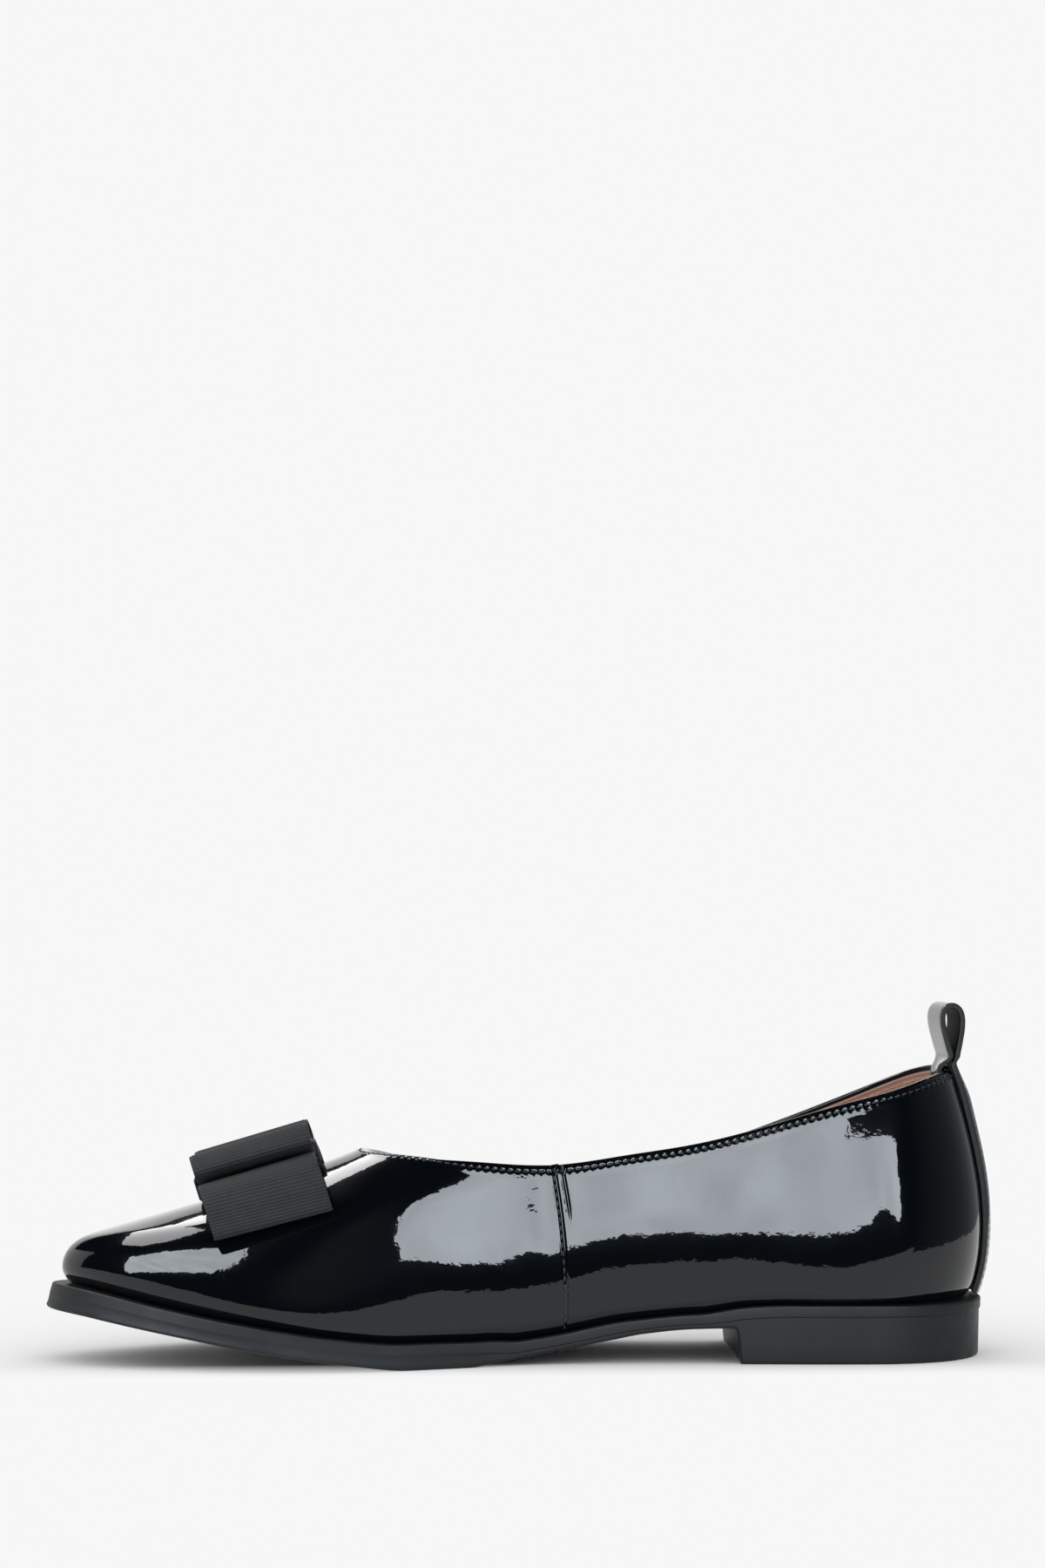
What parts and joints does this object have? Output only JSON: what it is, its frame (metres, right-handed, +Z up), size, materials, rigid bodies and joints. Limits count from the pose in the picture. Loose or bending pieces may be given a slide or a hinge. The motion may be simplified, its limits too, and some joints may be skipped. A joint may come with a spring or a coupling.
{
  "type": "ballet flat",
  "caption": "Right ballet flat: hollow pointed upper with side seams, moulded sole with low heel, insole, heel strap with pull loop, and a two-tier ribbon bow.",
  "frame": {"origin": "on the floor under the middle of the heel", "axes": "+Z up, -X towards the toe, -Y towards the wearer's inner (medial) side"},
  "size_m": [0.262, 0.0853, 0.098],
  "materials": {
    "sole_rubber": "matte",
    "patent_leather": "high gloss",
    "sock_lining": "matte",
    "strap_leather": "gloss",
    "grosgrain": "ribbed matte"
  },
  "bodies": {
    "root": {"outsole": "sole_rubber", "upper": "patent_leather", "insole": "sock_lining", "heel_strap": "strap_leather", "bow_lower": "grosgrain", "bow_upper": "grosgrain", "bow_band": "grosgrain"}
  },
  "joints": []
}
